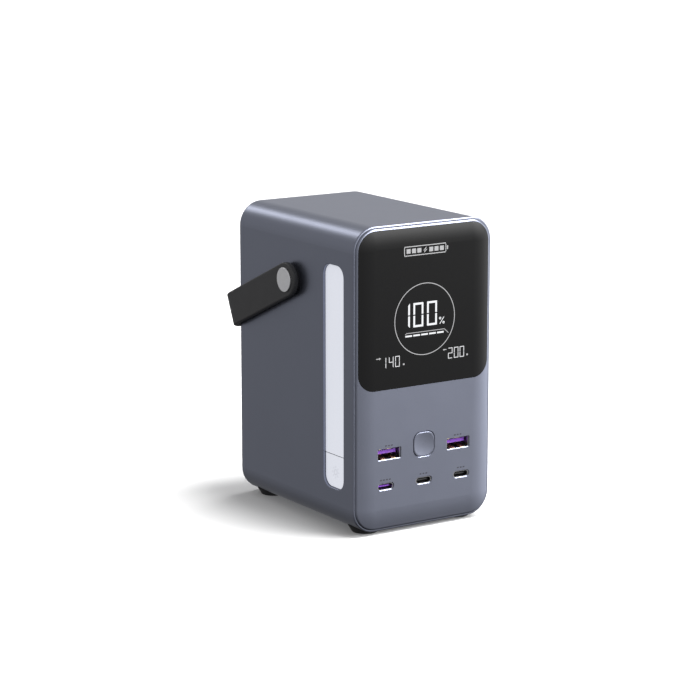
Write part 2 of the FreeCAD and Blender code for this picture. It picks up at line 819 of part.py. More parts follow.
def led_places():
    """Heights of the light sources."""
    low = lamp_split_z + led_end_room[0]
    step = (lamp_z[1] - led_end_room[1] - low) / (led_count - 1)
    return [low + step * k for k in range(led_count)]


def light_leds():
    """Row of light sources."""
    x = (light_board_x[0] - led_height, light_board_x[0])
    return group([box(x, around(lamp_middle_y(), led_size), around(z, led_size)) for z in led_places()])


def light_board():
    """Narrow board behind the lamp."""
    z = (lamp_z[0] + light_board_margin, lamp_z[1] - light_board_margin)
    return rounded_box(light_board_x, behind(*light_board_depths), z, X_AXIS, light_board_corner)


def light_switch():
    """Push switch behind the lamp key."""
    z = sum(key_z) / 2
    x = (light_board_x[0] - light_switch_height, light_board_x[0])
    body = box(x, around(lamp_middle_y(), switch_size), around(z, switch_size))
    start = Vector(x[0] - overcut, lamp_middle_y(), z)
    bore_length = light_board_x[0] - light_switch_floor - start.x
    return body.cut(rod(start, X_AXIS, bore_length, plunger_radius + plunger_clearance))


def light_switch_plunger():
    """Plunger between the lamp key's stem and its switch."""
    start_x = flange_x[1] + key_stem_length
    end_x = light_board_x[0] - light_plunger_setback
    start = Vector(start_x, lamp_middle_y(), sum(key_z) / 2)
    return rod(start, X_AXIS, end_x - start_x, plunger_radius)


# ---- battery -------------------------------------------------------------------------------------
def cell_places():
    """Centre of each cell, as X and Z."""
    return [(x, z) for z in cell_row_heights() for x in (-cell_pitch / 2, cell_pitch / 2)]


def cell_row_heights():
    """Height of each row of cells."""
    return [middle_z + cell_pitch * (k - (cell_rows - 1) / 2) for k in range(cell_rows)]


def battery_cells():
    """Eight cans with a raised terminal at the front."""
    cells = []
    for x, z in cell_places():
        start = Vector(x, front_y + cell_front_depth, z)
        can_start = start + Vector(0, terminal_rise, 0)
        can = rod(can_start, Y_AXIS, cell_length - terminal_rise, cell_radius)
        can = can.makeFillet(cell_rim_radius, [e for e in can.Edges if e.Closed])
        terminal = rod(start, Y_AXIS, terminal_length, terminal_radius)
        cells.append(union([can, terminal]))
    return group(cells)


def cell_holes():
    """Bores for all the cells."""
    radius = cell_radius + cell_clearance
    return [rod(Vector(x, front_y, z), Y_AXIS, 2 * body_depth, radius) for x, z in cell_places()]


def cell_holder(depths):
    """Honeycomb plate round one end of the cells."""
    z = around(middle_z, holder_size[1])
    plate = rounded_box(around(0, holder_size[0]), behind(*depths), z, Y_AXIS, holder_corner)
    return plate.cut(cell_holes())


def cell_holder_front():
    """Front holder, with four posts for the battery board."""
    depths = (cell_front_depth + terminal_rise, cell_front_depth + holder_thickness)
    plate = cell_holder(depths)
    posts = []
    pilots = []
    for x, z in battery_posts:
        start = Vector(x, front_y + battery_board_depths[1], z)
        post_length = depths[0] - battery_board_depths[1] + battery_post_root
        posts.append(rod(start, Y_AXIS, post_length, battery_post_radius))
        pilots.append(rod(start, Y_AXIS, battery_pilot_length, pilot_radius))
    return union([plate] + posts).cut(cell_holes() + pilots)


def cell_holder_rear():
    """Rear holder."""
    return cell_holder((cell_back_depth - holder_thickness, cell_back_depth))


def busbars():
    """Nickel strips: one across each pair at the front, one per column half at the back."""
    strips = []
    for z in cell_row_heights():
        y = behind(cell_front_depth - tab_thickness, cell_front_depth)
        strips.append(rounded_box(around(0, tab_length), y, around(z, tab_width), Y_AXIS, tab_corner))
    for x in (-cell_pitch / 2, cell_pitch / 2):
        for z in (middle_z - cell_pitch, middle_z + cell_pitch):
            y = behind(cell_back_depth, cell_back_depth + tab_thickness)
            strips.append(rounded_box(around(x, tab_width), y, around(z, tab_length), Y_AXIS, tab_corner))
    return group(strips)


def insulator_sheets():
    """Thin sheets over the nickel strips."""
    front = behind(cell_front_depth - tab_thickness - sheet_thickness, cell_front_depth - tab_thickness)
    rear = behind(cell_back_depth + tab_thickness, cell_back_depth + tab_thickness + sheet_thickness)
    x = around(0, sheet_size[0])
    z = around(middle_z, sheet_size[1])
    return group([rounded_box(x, y, z, Y_AXIS, sheet_corner) for y in (front, rear)])


def battery_board():
    """Battery protection board on the front holder's posts."""
    y = behind(*battery_board_depths)
    board = rounded_box(battery_board_x, y, battery_board_z, Y_AXIS, board_corner)
    return board.cut(board_holes(battery_posts, 2 * cell_front_depth))


def battery_transistors():
    """Row of power transistors on the battery board."""
    width, thickness, height = transistor_size
    y = behind(battery_board_depths[0] - thickness, battery_board_depths[0])
    places = [transistor_start_x + transistor_pitch * k for k in range(transistor_count)]
    return group([box(around(x, width), y, around(transistor_z, height)) for x in places])


def battery_lead(x):
    """Insulated lead from the battery board down to the output board, with its lug and its clamp."""
    near, far = lead_depths
    points = [Vector(x, front_y + depth, z) for depth, z in zip((near, near, far, far), lead_heights)]
    circle = Part.Wire(Part.makeCircle(lead_radius, points[0], Z_AXIS))
    lead = smooth_path(points, lead_bend_radius).makePipeShell([circle], True, False)
    lug_y = behind(far - lead_end_room, battery_board_depths[0])
    clamp_y = behind(board_back, near + lead_end_room)
    lug = box(around(x, lead_lug), lug_y, (lead_heights[-1], lead_heights[-1] + lead_lug))
    clamp = box(around(x, lead_lug), clamp_y, (lead_heights[0] - lead_lug, lead_heights[0]))
    return group([lead, lug, clamp])


def smooth_path(points, radius):
    """Straight runs joined by tangent arcs of one radius."""
    edges = []
    here = points[0]
    for k in range(1, len(points) - 1):
        into = (points[k] - points[k - 1]).normalize()
        out = (points[k + 1] - points[k]).normalize()
        turn = into.getAngle(out)
        cut_back = radius * math.tan(turn / 2)
        start = points[k] - into * cut_back
        end = points[k] + out * cut_back
        inward = (out - into).normalize()
        centre = points[k] + inward * (radius / math.cos(turn / 2))
        middle = centre - inward * radius
        edges.append(Part.makeLine(here, start))
        edges.append(Part.Arc(start, middle, end).toShape())
        here = end
    edges.append(Part.makeLine(here, points[-1]))
    return Part.Wire(edges)


def foam_pads():
    """Pads that wedge the battery against the sleeve and the tray."""
    pads = []
    front = behind(cell_front_depth + pad_front_setback, cell_front_depth + holder_thickness)
    rear = behind(cell_back_depth - holder_thickness, cell_back_depth - pad_rear_setback)
    side = (holder_size[0] / 2, half_width - wall)
    under = (tray_top, middle_z - holder_size[1] / 2)
    for y in (front, rear):
        for x in (side, (-side[1], -side[0])):
            pads.append(box(x, y, around(middle_z, pad_height)))
        pads.append(box(around(0, pad_width), y, under))
    return group(pads)


# ---- underside -----------------------------------------------------------------------------------
def base_tray():
    """Floor tray under the battery, with four bosses for the foot screws."""
    y = behind(skirt_depth + tray_front_room, cell_back_depth + tray_rear_room)
    plate = box((-tray_half_width, tray_half_width), y, (0, tray_top))
    pieces = [plate.common(body_prism(wall + fit_gap, y))]
    pilots = []
    for _, x, y in foot_places():
        root = Vector(x, y, tray_top - tray_root)
        pieces.append(rod(root, Z_AXIS, tray_boss_top - root.z, tray_boss_radius))
        pilots.append(rod(Vector(x, y, 0), Z_AXIS, tray_boss_top + overcut, foot_screw_radius))
    rib_y = behind(tray_rib_end_room, cell_back_depth - tray_rib_end_room)
    rib_z = (tray_top - tray_root, tray_boss_top)
    ribs = [box(around(x, tray_rib_thickness), rib_y, rib_z) for x in (-tray_rib_x, tray_rib_x)]
    return union(pieces + ribs).cut(pilots)


def foot(x, y):
    """Rubber foot with a pocket over the screw head."""
    head_radius, head_height = foot_screw_head
    start = Vector(x, y, bottom_z + foot_seat - head_height - fit_gap)
    pocket = rod(start, Z_AXIS, foot_blank_height, head_radius + screw_head_clearance)
    solid = foot_blank(x, y, 0).cut(pocket)
    rim = [e for e in solid.Edges if e.BoundBox.ZMax < touch]
    return solid.makeFillet(foot_rim_radius, rim)


def foot_screws():
    """Screws under the feet that hold the tray in the sleeve."""
    screws = []
    seat = bottom_z + foot_seat
    head_radius, head_height = foot_screw_head
    long_side, short_side = foot_screw_drive
    drive_z = (0, seat - head_height / 2)
    for _, x, y in foot_places():
        head = rod(Vector(x, y, seat - head_height), Z_AXIS, head_height, head_radius)
        shank_length = tray_boss_top - seat - foot_screw_end_room
        shank = rod(Vector(x, y, seat), Z_AXIS, shank_length, foot_screw_radius)
        slot = box(around(x, long_side), around(y, short_side), drive_z)
        cross = box(around(x, short_side), around(y, long_side), drive_z)
        screws.append(union([head, shank]).cut([slot, cross]))
    return group(screws)


# ---- strap ---------------------------------------------------------------------------------------
def bend_edges(solid, limit):
    """Upright edges behind a limit, where the band bends round."""
    return [e for e in edges_along(solid, Z_AXIS) if e.CenterOfMass.y > limit]


def strap_band(width, thickness_inset, start):
    """U-shaped band: arms from a start distance behind the pivot to the cross piece, lying level."""
    outer = strap_outer_x - thickness_inset
    inner = strap_outer_x - strap_thickness + thickness_inset
    reach = strap_reach - thickness_inset
    inner_reach = strap_reach - strap_thickness + thickness_inset
    z = (-width / 2, width / 2)
    block = box((-outer, outer), (start, reach), z)
    block = block.makeFillet(strap_bend_radius - thickness_inset, bend_edges(block, reach - overcut))
    hollow = box((-inner, inner), (start - strap_reach, inner_reach), (z[0] - overcut, z[1] + overcut))
    hollow_radius = strap_bend_radius - strap_thickness + thickness_inset
    hollow = hollow.makeFillet(hollow_radius, bend_edges(hollow, inner_reach - overcut))
    return block.cut(hollow)


def place_strap(shape):
    """Lower the level strap to its rest angle on the pivots."""
    shape.rotate(Vector(0, 0, 0), X_AXIS, -strap_droop)
    shape.translate(Vector(0, pivot_y, pivot_z))
    return shape


def strap_solid():
    """Strap with round ends and rounded edges, lying level about the pivot."""
    half = strap_width / 2
    band = strap_band(strap_width, 0, -half)
    ends = across_strap(half)
    rest = box((ends.BoundBox.XMin, ends.BoundBox.XMax), (0, strap_reach + overcut), (-half, half))
    return band.common(union([ends, rest]))


def across_strap(radius):
    """Rod on the pivot's line, past both sides of the strap."""
    length = 2 * (strap_outer_x + overcut)
    return rod(Vector(-length / 2, 0, 0), X_AXIS, length, radius)


def handle_strap():
    """Covered strap with a pocket for its spring core and a hole for each bush."""
    band = strap_solid()
    long_edges = [e for e in band.Edges if abs(abs(e.CenterOfMass.z) - strap_width / 2) < touch]
    end_edges = [e for e in band.Edges if e.CenterOfMass.y < 0]
    band = band.makeFillet(strap_edge_radius, long_edges + end_edges)
    return place_strap(band.cut([core_solid(), across_strap(bush_radius)]))


def core_solid():
    """Spring strip inside the strap."""
    return strap_band(core_width, (strap_thickness - core_thickness) / 2, core_start)


def handle_core():
    """Spring strip, in place."""
    return place_strap(core_solid())


def mirrored(shape):
    """The same piece on the other side of the body."""
    return shape.mirror(Vector(0, 0, 0), X_AXIS)


def handle_bush():
    """Left bush, fixed in the strap."""
    start = Vector(-strap_outer_x, pivot_y, pivot_z)
    ring = rod(start, X_AXIS, strap_thickness, bush_radius)
    return ring.cut(rod(start, X_AXIS, strap_thickness, shaft_radius + shaft_clearance))


def handle_rivet():
    """Left rivet: a thin domed disc on a shaft through strap, spacer and sleeve."""
    face = -strap_outer_x - fit_gap
    front_x = face - rivet_disc_thickness
    disc = rod(Vector(front_x, pivot_y, pivot_z), X_AXIS, rivet_disc_thickness, rivet_radius)
    disc = disc.makeFillet(rivet_rim_radius, [e for e in disc.Edges if e.BoundBox.XMax < front_x + touch])
    shaft = rod(Vector(face, pivot_y, pivot_z), X_AXIS, rivet_shaft_length, shaft_radius)
    return union([disc, shaft])


def handle_spacer():
    """Left spacer between strap and sleeve."""
    start = Vector(-half_width - strap_side_gap + fit_gap, pivot_y, pivot_z)
    ring = rod(start, X_AXIS, strap_side_gap - fit_gap, spacer_radius)
    return ring.cut(rod(start, X_AXIS, strap_side_gap, shaft_radius))


def handle_backing_plate():
    """Left backing plate inside the sleeve."""
    x = (-half_width + wall, -half_width + wall + backing_plate_thickness)
    y = around(pivot_y, backing_plate_size)
    plate = rounded_box(x, y, around(pivot_z, backing_plate_size), X_AXIS, backing_plate_corner)
    start = Vector(x[0] - overcut, pivot_y, pivot_z)
    return plate.cut(rod(start, X_AXIS, backing_plate_thickness + 2 * overcut, shaft_radius))


def handle_nut():
    """Left nut on the rivet's shaft."""
    start_x = -half_width + wall + backing_plate_thickness
    points = []
    for k in range(nut_sides + 1):
        angle = 2 * math.pi * k / nut_sides
        y = pivot_y + nut_radius * math.cos(angle)
        z = pivot_z + nut_radius * math.sin(angle)
        points.append(Vector(start_x, y, z))
    hexagon = Part.Face(Part.makePolygon(points)).extrude(Vector(nut_height, 0, 0))
    start = Vector(start_x - overcut, pivot_y, pivot_z)
    return hexagon.cut(rod(start, X_AXIS, nut_height + 2 * overcut, shaft_radius))


def both_sides(make_left):
    """A left piece and its mirror image in one node."""
    left = make_left()
    return group([left, mirrored(left)])


# ---- all nodes -----------------------------------------------------------------------------------
def nodes():
    """Every node of the object by name."""
    made = {
        "main_shell": main_shell(),
        "rear_cover": rear_cover(),
        "front_panel": front_panel(),
        "display_glass": display_glass(),
        "glass_tape": glass_tape(),
        "display_lcd": display_layer(lcd_depths, lcd_corner),
        "display_backlight": display_layer(backlight_depths, backlight_corner),
        "display_board": display_board(),
        "board_screws": board_screws(),
        "output_board": output_board(),
        "usb_a_contacts": usb_a_contacts(),
        "power_button": power_button(),
        "power_switch": power_switch(),
        "power_switch_plunger": power_switch_plunger(),
        "inductors": inductors(),
        "capacitors": capacitors(),
        "control_chips": control_chips(),
        "heat_sink": heat_sink(),
        "light_diffuser": light_diffuser(),
        "light_button": light_button(),
        "light_reflector": light_reflector(),
        "light_leds": light_leds(),
        "light_board": light_board(),
        "light_switch": light_switch(),
        "light_switch_plunger": light_switch_plunger(),
        "battery_cells": battery_cells(),
        "cell_holder_front": cell_holder_front(),
        "cell_holder_rear": cell_holder_rear(),
        "busbars": busbars(),
        "insulator_sheets": insulator_sheets(),
        "battery_board": battery_board(),
        "battery_transistors": battery_transistors(),
        "battery_lead_positive": battery_lead(positive_lead_x),
        "battery_lead_negative": battery_lead(negative_lead_x),
        "foam_pads": foam_pads(),
        "base_tray": base_tray(),
        "foot_screws": foot_screws(),
        "handle_strap": handle_strap(),
        "handle_core": handle_core(),
        "handle_bushes": both_sides(handle_bush),
        "handle_rivet_left": handle_rivet(),
        "handle_rivet_right": mirrored(handle_rivet()),
        "handle_spacers": both_sides(handle_spacer),
        "handle_backing_plates": both_sides(handle_backing_plate),
        "handle_nuts": both_sides(handle_nut),
    }
    for side, x in usb_a_places:
        made["usb_a_shell_" + side] = usb_a_shell(x)
        made["usb_a_tongue_" + side] = usb_a_tongue_piece(x)
    for side, x in usb_c_places:
        made["usb_c_shell_" + side] = usb_c_shell(x)
        made["usb_c_tongue_" + side] = usb_c_tongue_piece(x)
    for place, x, y in foot_places():
        made["foot_" + place] = foot(x, y)
    return made


os.makedirs("parts", exist_ok=True)
for name, shape in nodes().items():
    shape.exportStep("parts/" + name + ".step")
    solids = len(shape.Solids)
    print(name, "valid" if shape.isValid() else "NOT VALID", solids, round(shape.Volume, 1), shape.BoundBox)
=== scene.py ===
import json
import math

import bmesh
import bpy
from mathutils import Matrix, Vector


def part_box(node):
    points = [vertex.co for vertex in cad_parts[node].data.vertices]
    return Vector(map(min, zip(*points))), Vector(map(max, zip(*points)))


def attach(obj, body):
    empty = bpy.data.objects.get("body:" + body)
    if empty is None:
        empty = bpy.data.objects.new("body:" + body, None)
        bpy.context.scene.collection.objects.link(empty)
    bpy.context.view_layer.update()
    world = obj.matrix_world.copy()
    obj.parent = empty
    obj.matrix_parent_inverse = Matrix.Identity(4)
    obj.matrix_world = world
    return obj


# Looks of a small portable power station. Metres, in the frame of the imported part: the front faces -Y,
# the lamp is on the -X side and the feet stand on Z = 0.

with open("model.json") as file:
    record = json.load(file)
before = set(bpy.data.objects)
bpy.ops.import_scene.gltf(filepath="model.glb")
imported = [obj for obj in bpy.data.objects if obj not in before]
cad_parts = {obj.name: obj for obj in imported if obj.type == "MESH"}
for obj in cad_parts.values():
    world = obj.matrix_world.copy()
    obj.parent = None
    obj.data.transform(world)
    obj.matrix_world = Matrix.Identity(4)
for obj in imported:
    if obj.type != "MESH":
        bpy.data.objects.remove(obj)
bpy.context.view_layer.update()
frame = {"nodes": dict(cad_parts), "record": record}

MM = 0.001


def middle(node):
    """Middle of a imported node's box."""
    low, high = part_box(node)
    return (low + high) / 2


# ---- places taken from the frame -----------------------------------------------------------------
glass_low, glass_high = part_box("display_glass")
lamp_key_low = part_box("light_button")[0]

FRONT_Y = glass_low.y
GLASS_TOP = glass_high.z / MM
LAMP_X = lamp_key_low.x
LAMP_KEY_MIDDLE = middle("light_button")
DISPLAY_MIDDLE = middle("display_lcd")
RIVET_MIDDLE = middle("handle_rivet_left")

# ---- colours -------------------------------------------------------------------------------------
BODY_COLOUR = (0.245, 0.262, 0.332)
STRAP_COLOUR = (0.052, 0.052, 0.056)
LAMP_GLOW = (0.87, 0.90, 1.0)
BLACK = (0, 0, 0)

# Sockets of Blender's Mix node when it mixes colours.
MIX_FACTOR = 0
MIX_FIRST = 6
MIX_SECOND = 7
MIX_RESULT = 2


# ---- node helpers --------------------------------------------------------------------------------
class Nodes:
    """Short ways to add and link shader nodes."""

    def __init__(self, name):
        self.material = bpy.data.materials.new(name)
        self.material.use_nodes = True
        self.tree = self.material.node_tree
        self.shader = self.tree.nodes["Principled BSDF"]
        self.place = self.add("ShaderNodeTexCoord").outputs["Object"]

    def add(self, kind, **values):
        node = self.tree.nodes.new(kind)
        for key, value in values.items():
            setattr(node, key, value)
        return node

    def link(self, source, target):
        self.tree.links.new(source, target)

    def vector(self, operation, source, value):
        """Vector arithmetic on a socket with a fixed second value."""
        node = self.add("ShaderNodeVectorMath", operation=operation)
        node.inputs[1].default_value = value
        self.link(source, node.inputs[0])
        return node

    def noise(self, scale, detail=2.0, stretch=(1, 1, 1)):
        """Noise over the object's own space, in cycles per metre."""
        mapping = self.add("ShaderNodeMapping")
        mapping.inputs["Scale"].default_value = stretch
        self.link(self.place, mapping.inputs["Vector"])
        node = self.add("ShaderNodeTexNoise")
        node.inputs["Scale"].default_value = scale
        node.inputs["Detail"].default_value = detail
        self.link(mapping.outputs["Vector"], node.inputs["Vector"])
        return node.outputs["Fac"]

    def spread(self, value, low, high):
        """A value from 0 to 1 taken to a range."""
        node = self.add("ShaderNodeMapRange")
        node.inputs["To Min"].default_value = low
        node.inputs["To Max"].default_value = high
        self.link(value, node.inputs["Value"])
        return node.outputs["Result"]

    def blend(self, value, first, second):
        """A colour between two by a value. Each of the two is a fixed colour or a socket."""
        node = self.add("ShaderNodeMix", data_type="RGBA")
        for socket, colour in ((node.inputs[MIX_FIRST], first), (node.inputs[MIX_SECOND], second)):
            if isinstance(colour, bpy.types.NodeSocket):
                self.link(colour, socket)
            else:
                socket.default_value = (*colour, 1)
        self.link(value, node.inputs[MIX_FACTOR])
        return node.outputs[MIX_RESULT]

    def facing(self, direction, low, high):
        """From 0 to 1 as the surface turns towards a direction of the object, between two cosines."""
        normal = self.add("ShaderNodeTexCoord").outputs["Normal"]
        node = self.add("ShaderNodeMapRange")
        node.inputs["From Min"].default_value = low
        node.inputs["From Max"].default_value = high
        self.link(self.vector("DOT_PRODUCT", normal, direction).outputs["Value"], node.inputs["Value"])
        return node.outputs["Result"]

    def colour(self, source):
        self.link(source, self.shader.inputs["Base Color"])

    def roughness(self, source):
        self.link(source, self.shader.inputs["Roughness"])

    def emission(self, source, strength):
        self.link(source, self.shader.inputs["Emission Color"])
        self.set(Emission_Strength=strength)

    def bump(self, value, height):
        """Surface relief of a height in metres."""
        node = self.add("ShaderNodeBump")
        node.inputs["Distance"].default_value = height
        node.inputs["Strength"].default_value = 1.0
        self.link(value, node.inputs["Height"])
        self.link(node.outputs["Normal"], self.shader.inputs["Normal"])

    def set(self, **values):
        """Uniform values on the shader's own sockets."""
        for key, value in values.items():
            self.shader.inputs[key.replace("_", " ")].default_value = value


def tint(colour, factor):
    """A colour made lighter or darker."""
    return tuple(min(1.0, c * factor) for c in colour)


def drift(colour, less, more):
    """Two shades of a colour, a little darker and a little lighter."""
    return tint(colour, 1 - less), tint(colour, 1 + more)


# ---- materials -----------------------------------------------------------------------------------
def plain_finish(name, colour, roughness, grain=900.0, relief=0.004 * MM):
    """Moulded finish: slight colour drift, uneven gloss and a fine grain."""
    m = Nodes(name)
    cloud = m.noise(scale=60.0, detail=3.0)
    fine = m.noise(scale=grain)
    m.colour(m.blend(cloud, *drift(colour, less=0.06, more=0.06)))
    m.roughness(m.spread(fine, low=roughness - 0.04, high=roughness + 0.04))
    m.bump(fine, relief)
    return m.material


def body_coating():
    """Satin metallic coating with a very fine sparkle grain and faint clouds in its colour and gloss."""
    m = Nodes("satin_coating")
    cloud = m.noise(scale=25.0, detail=4.0)
    fine = m.noise(scale=5200.0)
    m.colour(m.blend(cloud, *drift(BODY_COLOUR, less=0.035, more=0.035)))
    gloss = m.add("ShaderNodeMath", operation="ADD")
    m.link(m.spread(fine, low=0.27, high=0.35), gloss.inputs[0])
    m.link(m.spread(m.noise(scale=70.0, detail=5.0), low=0.0, high=0.04), gloss.inputs[1])
    m.roughness(gloss.outputs[0])
    m.bump(fine, 0.0025 * MM)
    m.set(Metallic=0.92)
    return m.material


def display_gloss():
    """Black cover glass with faint smears in its gloss."""
    m = Nodes("display_gloss")
    m.colour(m.blend(m.noise(scale=18.0), (0.0010, 0.0010, 0.0012), (0.0020, 0.0020, 0.0024)))
    m.roughness(m.spread(m.noise(scale=260.0, detail=3.0), low=0.10, high=0.15))
    m.set(IOR=1.5, Specular_IOR_Level=0.48)
    return m.material


def milky(name, dark, pale, strength):
    """Milky lamp plastic with faint drawn lines along its height. Its face glows and its edges don't, and
    the edges are painted darker as shade.
    """
    m = Nodes(name)
    lines = m.noise(scale=2200.0, stretch=(1, 1, 0.02))
    glow_face_shaded_edges = m.facing((-1, 0, 0), low=0.3, high=0.8)
    # Painted shade: surfaces that turn away from the side get a darker colour than the face; the same
    # mask also keeps the glow to the face.
    m.colour(m.blend(glow_face_shaded_edges, tint(dark, 0.6), m.blend(lines, dark, pale)))
    m.roughness(m.spread(m.noise(scale=1400.0), low=0.34, high=0.44))
    m.bump(lines, 0.002 * MM)
    m.emission(m.blend(glow_face_shaded_edges, BLACK, LAMP_GLOW), strength)
    return m.material


def strap_cover():
    """Dark matte moulded strap with a pebbled grain."""
    m = Nodes("strap_cover")
    cell = m.add("ShaderNodeTexVoronoi", feature="SMOOTH_F1")
    cell.inputs["Scale"].default_value = 2600.0
    m.link(m.place, cell.inputs["Vector"])
    m.colour(m.blend(m.noise(scale=90.0, detail=3.0), *drift(STRAP_COLOUR, less=0.14, more=0.14)))
    m.roughness(m.spread(cell.outputs["Distance"], low=0.60, high=0.48))
    m.bump(cell.outputs["Distance"], 0.008 * MM)
    return m.material


def brushed_metal(name, colour, roughness, stretch):
    """Metal with fine straight brushing."""
    m = Nodes(name)
    lines = m.noise(scale=2500.0, stretch=stretch)
    m.colour(m.blend(lines, *drift(colour, less=0.10, more=0.08)))
    m.roughness(m.spread(lines, low=roughness - 0.06, high=roughness + 0.08))
    m.bump(lines, 0.003 * MM)
    m.set(Metallic=1.0)
    return m.material


def spun_metal(name, colour, roughness, centre):
    """Metal turned about an X axis through a centre: fine rings, and a slight drift of colour."""
    m = Nodes(name)
    offset = m.vector("SUBTRACT", m.place, centre).outputs["Vector"]
    flat = m.vector("MULTIPLY", offset, (0, 1, 1)).outputs["Vector"]
    reach = m.add("ShaderNodeVectorMath", operation="LENGTH")
    m.link(flat, reach.inputs[0])
    rings = m.add("ShaderNodeTexNoise", noise_dimensions="1D")
    rings.inputs["Scale"].default_value = 6000.0
    rings.inputs["Detail"].default_value = 3.0
    m.link(reach.outputs["Value"], rings.inputs["W"])
    m.colour(m.blend(m.noise(scale=420.0), *drift(colour, less=0.08, more=0.06)))
    m.roughness(m.spread(rings.outputs["Fac"], low=roughness - 0.06, high=roughness + 0.08))
    m.bump(rings.outputs["Fac"], 0.004 * MM)
    m.set(Metallic=1.0)
    return m.material


def glow(name, colour, strength):
    """Lit mark of the display."""
    m = Nodes(name)
    fine = m.noise(scale=1500.0)
    m.colour(m.blend(fine, (0.010, 0.010, 0.010), (0.016, 0.016, 0.016)))
    m.emission(m.blend(fine, tint(colour, 0.96), colour), strength)
    m.set(Roughness=0.4)
    return m.material


# Brushing runs along the axis on which the noise is drawn out.
ALONG_X = (0.1, 1, 1)
ALONG_Y = (1, 0.1, 1)
ALONG_Z = (1, 1, 0.1)

# The finish of each material slot of the record.
FINISHES = {
    "body_plastic": body_coating(),
    "display_glass": display_gloss(),
    "black_tape": plain_finish("black_tape", (0.02, 0.02, 0.02), 0.7),
    "lcd_glass": plain_finish("lcd_glass", (0.03, 0.035, 0.04), 0.15),
    "white_plastic": plain_finish("white_plastic", (0.80, 0.80, 0.81), 0.45),
    "circuit_board": plain_finish("circuit_board", (0.02, 0.13, 0.05), 0.35, grain=1500.0),
    "steel_screw": brushed_metal("steel_screw", (0.55, 0.55, 0.56), 0.30, ALONG_Z),
    "plated_steel": brushed_metal("plated_steel", (0.56, 0.56, 0.57), 0.30, ALONG_Y),
    "violet_plastic": plain_finish("violet_plastic", (0.27, 0.09, 0.60), 0.22),
    "black_plastic": plain_finish("black_plastic", (0.02, 0.02, 0.022), 0.5),
    "gold_contact": brushed_metal("gold_contact", (0.80, 0.60, 0.26), 0.25, ALONG_Y),
    "ferrite": plain_finish("ferrite", (0.07, 0.07, 0.075), 0.6),
    "capacitor_can": brushed_metal("capacitor_can", (0.70, 0.70, 0.72), 0.28, ALONG_Y),
    "heat_sink_aluminium": brushed_metal("heat_sink_aluminium", (0.60, 0.61, 0.63), 0.4, ALONG_Z),
    "lamp_lens": milky("milky_lens", (0.70, 0.71, 0.76), (0.76, 0.77, 0.82), 0.54),
    "led": plain_finish("led", (0.85, 0.75, 0.30), 0.25),
    "cell_wrap": plain_finish("cell_wrap", (0.03, 0.12, 0.34), 0.35),
    "nickel": brushed_metal("nickel", (0.66, 0.65, 0.62), 0.28, ALONG_X),
    "insulator_sheet": plain_finish("insulator_sheet", (0.55, 0.57, 0.52), 0.8),
    "red_wire": plain_finish("red_wire", (0.50, 0.02, 0.02), 0.45),
    "black_wire": plain_finish("black_wire", (0.015, 0.015, 0.015), 0.45),
    "foam": plain_finish("foam", (0.03, 0.03, 0.03), 0.9, relief=0.05 * MM),
    "foot_rubber": plain_finish("foot_rubber", (0.018, 0.018, 0.02), 0.72, relief=0.01 * MM),
    "strap_cover": strap_cover(),
    "spring_steel": brushed_metal("spring_steel", (0.30, 0.30, 0.33), 0.35, ALONG_Y),
    "rivet_metal": spun_metal("rivet_metal", (0.90, 0.90, 0.93), 0.36, RIVET_MIDDLE),
}

# Finishes of the marks.
BRIGHT = glow("display_bright", (0.96, 0.98, 1.0), 1.0)
READING = glow("display_reading", (0.97, 0.98, 1.0), 0.85)
DIM = glow("display_dim", (0.98, 0.98, 1.0), 0.55)
FAINT = milky("lamp_icon", (0.50, 0.51, 0.56), (0.56, 0.57, 0.62), 0.46)
PRINT = plain_finish("printed_mark", (0.055, 0.056, 0.075), 0.5)
EMBLEM = plain_finish("emblem_print", (0.42, 0.42, 0.43), 0.4)


def dress_nodes():
    """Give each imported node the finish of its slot."""
    for row in frame["record"]["subparts"]:
        node = frame["nodes"][row["node"]]
        node.data.materials.clear()
        node.data.materials.append(FINISHES[row["material_slot"]])


# ---- pieces --------------------------------------------------------------------------------------
def finish_piece(name, bm, material, body):
    """Turn a mesh under work into a piece that rides on a body."""
    bmesh.ops.recalc_face_normals(bm, faces=bm.faces)
    mesh = bpy.data.meshes.new(name)
    bm.to_mesh(mesh)
    bm.free()
    piece = bpy.data.objects.new(name, mesh)
    bpy.context.scene.collection.objects.link(piece)
    mesh.materials.append(material)
    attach(piece, body)


def side_faces(bm, near, far):
    """Faces between two outlines with as many corners."""
    for k in range(len(near)):
        n = (k + 1) % len(near)
        bm.faces.new((near[k], near[n], far[n], far[k]))


# ---- flat marks: outlines in millimetres ---------------------------------------------------------
MARK_THICKNESS = 0.02 * MM
MARK_GAP = 0.01 * MM


def on_front(across, up, rise):
    """Place on the front face, from the part's origin, and raised towards the viewer."""
    return (across * MM, FRONT_Y - MARK_GAP - rise, up * MM)


def on_display(across, up, rise):
    """Place on the front face, from the middle of the display."""
    return (DISPLAY_MIDDLE.x + across * MM, FRONT_Y - MARK_GAP - rise, DISPLAY_MIDDLE.z + up * MM)


def on_lamp_key(across, up, rise):
    """Place on the lamp key's face, seen from the left side, from the key's middle."""
    return (LAMP_X - MARK_GAP - rise, LAMP_KEY_MIDDLE.y - across * MM, LAMP_KEY_MIDDLE.z + up * MM)


def mark_piece(name, outlines, material, place, body="station"):
    """Thin marks on a face, one for each outline."""
    bm = bmesh.new()
    for outline in outlines:
        front = [bm.verts.new(place(u, v, MARK_THICKNESS)) for u, v in outline]
        back = [bm.verts.new(place(u, v, 0)) for u, v in outline]
        bm.faces.new(front)
        bm.faces.new(list(reversed(back)))
        side_faces(bm, front, back)
    finish_piece(name, bm, material, body)


def ring(centre, radius, width, steps):
    """Outlines of a round line."""
    quads = []
    for k in range(steps):
        corners = []
        for turn, side in ((k, -1), (k + 1, -1), (k + 1, 1), (k, 1)):
            angle = 2 * math.pi * turn / steps
            reach = radius + side * width / 2
            corners.append((centre[0] + reach * math.cos(angle), centre[1] + reach * math.sin(angle)))
        quads.append(corners)
    return quads


